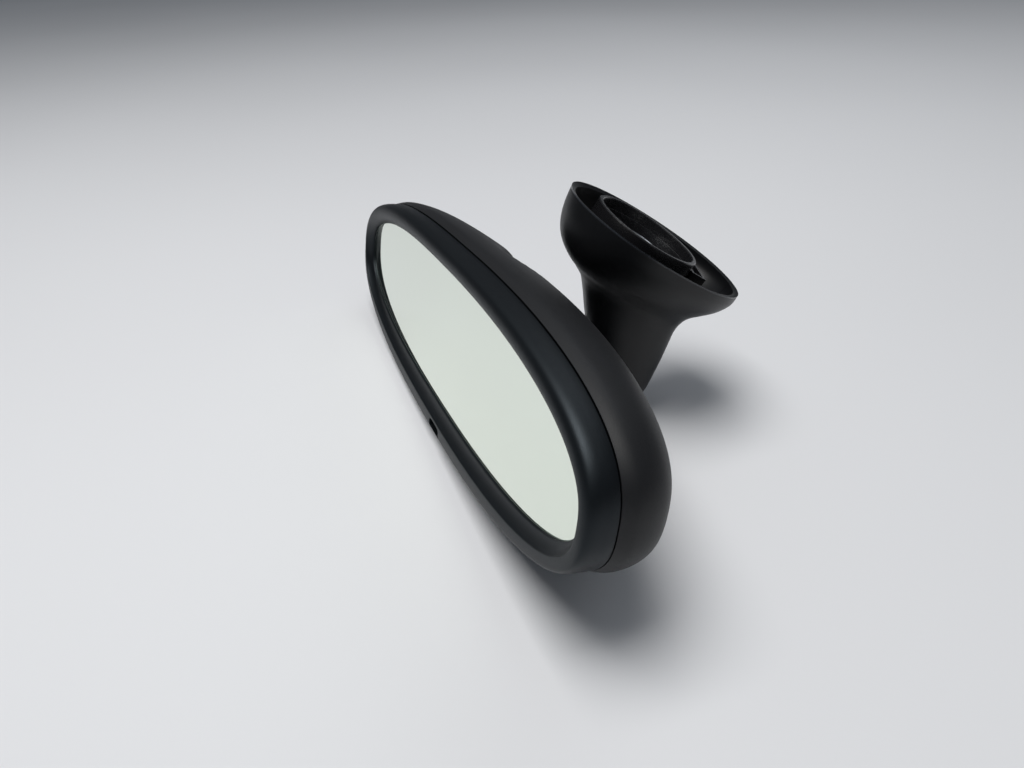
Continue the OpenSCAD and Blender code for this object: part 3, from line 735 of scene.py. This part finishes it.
class MIRROR_OT_foot_covers(bpy.types.Operator):
    """Draw the two halves of the trumpet-shaped foot cover"""

    bl_idname = "mirror.foot_covers"
    bl_label = "Foot Covers"

    def execute(self, context):
        sizes = context.scene.mirror_foot
        wall = sizes.wall
        stations = [[i] + row for i, row in enumerate(FOOT_ROWS)]
        outer = [row + [0.0, 0.0] for row in smooth(stations, 6)]
        inner = [row + [wall, 0.0] for row in smooth(stations[:9], 5)][::-1]
        rim = [row + [inset, out] for row in outer[:1] for inset, out in (
            (wall * 0.62, -0.25 * MM), (wall * 0.5, 0.0), (wall * 0.12, 0.0))]
        lead = [outer[0][:6] + [wall * 0.03, -0.08 * MM]]
        rows = inner[:-1] + rim + lead + outer[1:]
        rim_rows = range(len(inner) - 1, len(inner) + len(rim))

        def place(row, turn):
            number, outline, inset, out = row[0], row[1:6], row[6], row[7]
            power = lerp(2.05, 2.7, min(1, number / 6))
            return foot_corner(outline, inset, out, power, turn)

        for side, name in ((-1, "left"), (1, "right")):
            bm = sweep(rows, sizes.around, place)
            bm.faces.ensure_lookup_table()
            # the rim rows take the second finish, whose pale colour is a painted highlight
            for number in rim_rows:
                for face in bm.faces[number * sizes.around:(number + 1) * sizes.around]:
                    face.material_index = 1
            bmesh.ops.holes_fill(bm, edges=[e for e in bm.edges if e.is_boundary and
                                            e.verts[0].co.z < -60 * MM])
            geom = bm.verts[:] + bm.edges[:] + bm.faces[:]
            bmesh.ops.bisect_plane(bm, geom=geom, plane_co=(side * sizes.parting / 2, 0, 0),
                                   plane_no=(side, 0, 0), clear_inner=True)
            finish_piece(bm, "foot_cover_skin_" + name, "foot",
                         [slot_finish("cover_plastic"), rim_painted_highlight()],
                         ["foot_cover_" + name], None, 35)
        return {"FINISHED"}


RING_HUB = 12.4 * MM
RING_FLOOR_WALL = 1.5 * MM
RING_LEDGE = 0.5 * MM


class MIRROR_OT_mount_ring(bpy.types.Operator):
    """Turn the mounting ring with its lip and the ledge that stops the button"""

    bl_idname = "mirror.mount_ring"
    bl_label = "Mounting Ring"

    def execute(self, context):
        sizes = context.scene.mirror_foot
        r, w, top = sizes.ring_radius, sizes.ring_wall, sizes.ring_proud
        floor = top - sizes.ring_depth
        low = r - w - RING_LEDGE
        seat = top - sizes.ring_seat
        under = floor - RING_FLOOR_WALL
        profile = [
            (r - 0.3 * MM, top), (r, top - 0.3 * MM), (r, under), (RING_HUB, under),
            (RING_HUB, floor - 0.2 * MM), (RING_HUB + 0.2 * MM, floor),
            (low - 0.4 * MM, floor), (low, floor + 0.4 * MM), (low, seat - 0.1 * MM),
            (low + 0.1 * MM, seat), (r - w, seat), (r - w, top - 0.3 * MM),
            (r - w + 0.3 * MM, top)]
        bm = revolve(profile)
        finish_piece(bm, "mounting_ring_skin", "foot",
                     slot_finish("moulded_plastic"), ["mount_ring"], foot_matrix(), 30)
        return {"FINISHED"}


class MIRROR_OT_finishes(bpy.types.Operator):
    """Give every carried-over node the finish of its material slot"""

    bl_idname = "mirror.finishes"
    bl_label = "Finishes"

    def execute(self, context):
        slots = {s["node"]: s["material_slot"] for s in frame["record"]["subparts"]}
        for name, obj in frame["nodes"].items():
            obj.data.materials.clear()
            obj.data.materials.append(slot_finish(slots[name]))
        return {"FINISHED"}


# ---------------------------------------------------------------- stage
class MirrorStage(bpy.types.PropertyGroup):
    """The floor, the lights and the camera"""

    floor_height: FloatProperty(
        name="Floor Height", description="Height of the floor", default=-0.0668, unit="LENGTH")
    lens: FloatProperty(name="Lens", description="Focal length in millimetres", default=26.0)
    key_power: FloatProperty(
        name="Key Power", description="Power of the overhead light", default=13.5, unit="POWER")
    fill_power: FloatProperty(
        name="Fill Power", description="Power of the window light", default=1.2, unit="POWER")
    room: FloatProperty(
        name="Room", description="Brightness of the room", default=0.34)


def add_light(name, place, target, size, power, colour):
    data = bpy.data.lights.new(name, "AREA")
    data.shape = "RECTANGLE"
    data.size, data.size_y = size
    data.energy = power
    data.color = colour[:3]
    light = bpy.data.objects.new(name, data)
    bpy.context.scene.collection.objects.link(light)
    light.location = place
    light.rotation_euler = (Vector(target) - Vector(place)).to_track_quat("-Z", "Y").to_euler()
    return light


class MIRROR_OT_stage(bpy.types.Operator):
    """Lay the pale floor, hang the soft lights and place the camera"""

    bl_idname = "mirror.stage"
    bl_label = "Stage"

    def execute(self, context):
        stage = context.scene.mirror_stage
        colours = context.scene.mirror_colours
        bm = bmesh.new()
        bmesh.ops.create_grid(bm, x_segments=8, y_segments=8, size=6)
        bmesh.ops.translate(bm, verts=bm.verts, vec=(0, 0, stage.floor_height))
        mesh = bpy.data.meshes.new("studio_floor")
        bm.to_mesh(mesh)
        bm.free()
        floor = bpy.data.objects.new("studio_floor", mesh)
        context.scene.collection.objects.link(floor)
        # Matt drawing paper, with the faint tooth of its fibres.
        material, tree, shader, where = new_material("Drawing paper")
        tooth = node(tree, "ShaderNodeTexNoise", Vector=where, Scale=1 / (1.2 * MM), Detail=3.0)
        broad = node(tree, "ShaderNodeTexNoise", Vector=where, Scale=2.2, Detail=1.0)
        tone = ramp(tree, broad.outputs["Fac"],
                    [(0.3, tinted(colours.floor, 0.97)), (0.7, tinted(colours.floor, 1.02))])
        tree.links.new(tone, shader.inputs["Base Color"])
        relief = node(tree, "ShaderNodeBump", Height=tooth.outputs["Fac"], Strength=0.1,
                      Distance=0.1 * MM)
        tree.links.new(relief.outputs["Normal"], shader.inputs["Normal"])
        shade(shader, Roughness=0.75)
        mesh.materials.append(material)

        add_light("overhead", (0.12, -0.26, 1.15), (0.02, -0.03, -0.06), (0.72, 0.72),
                  stage.key_power, (1.0, 0.99, 0.97, 1))
        add_light("window", (-0.7, 0.5, 0.9), (0, -0.05, -0.03), (0.7, 0.5),
                  stage.fill_power, (0.93, 0.96, 1.0, 1))
        world = bpy.data.worlds.new("studio")
        context.scene.world = world
        world.use_nodes = True
        sky = world.node_tree
        # A room that is dark at eye level and bright under its ceiling
        direction = node(sky, "ShaderNodeTexCoord").outputs["Generated"]
        height = node(sky, "ShaderNodeSeparateXYZ", Vector=direction).outputs["Z"]
        glow = ramp(sky, height, [(0.0, srgb("#3A3D42")), (0.3, srgb("#6B7077")),
                                  (0.8, srgb("#D3D9E0"))])
        backdrop = sky.nodes["Background"]
        sky.links.new(glow, backdrop.inputs["Color"])
        backdrop.inputs["Strength"].default_value = stage.room
        context.scene.view_settings.view_transform = "Standard"

        data = bpy.data.cameras.new("camera")
        data.lens = stage.lens
        data.sensor_width = 36
        data.clip_start = 0.005
        camera = bpy.data.objects.new("camera", data)
        context.scene.collection.objects.link(camera)
        camera.location = (0.22697, -0.05310, 0.09044)
        camera.rotation_euler = [math.radians(a) for a in (57.263, 2.257, 86.777)]
        context.scene.camera = camera
        return {"FINISHED"}


class MIRROR_PT_panel(bpy.types.Panel):
    """Lists the steps that build the mirror"""

    bl_idname = "MIRROR_PT_panel"
    bl_label = "Rearview Mirror"
    bl_space_type = "VIEW_3D"
    bl_region_type = "UI"
    bl_category = "Mirror"

    def draw(self, context):
        for step in STEPS:
            self.layout.operator(step.bl_idname)
        for group in ("mirror_head", "mirror_foot", "mirror_colours", "mirror_stage"):
            sizes = getattr(context.scene, group)
            box = self.layout.box()
            for name in sizes.__annotations__:
                box.prop(sizes, name)


GROUPS = {
    "mirror_head": MirrorHeadSizes, "mirror_foot": MirrorFootSizes,
    "mirror_colours": MirrorColours, "mirror_stage": MirrorStage}
STEPS = (MIRROR_OT_finishes, MIRROR_OT_bezel, MIRROR_OT_glass, MIRROR_OT_housing,
         MIRROR_OT_lenses, MIRROR_OT_foot_covers, MIRROR_OT_mount_ring, MIRROR_OT_stage)


def register():
    for name, group in GROUPS.items():
        bpy.utils.register_class(group)
        setattr(bpy.types.Scene, name, PointerProperty(type=group))
    for item in STEPS + (MIRROR_PT_panel,):
        bpy.utils.register_class(item)


def unregister():
    for item in (MIRROR_PT_panel,) + STEPS[::-1]:
        bpy.utils.unregister_class(item)
    for name, group in GROUPS.items():
        delattr(bpy.types.Scene, name)
        bpy.utils.unregister_class(group)


def main():
    register()
    for step in STEPS:
        group, name = step.bl_idname.split(".")
        if getattr(getattr(bpy.ops, group), name)() != {"FINISHED"}:
            raise RuntimeError(step.bl_label + " was not finished")


if __name__ == "__main__":
    main()
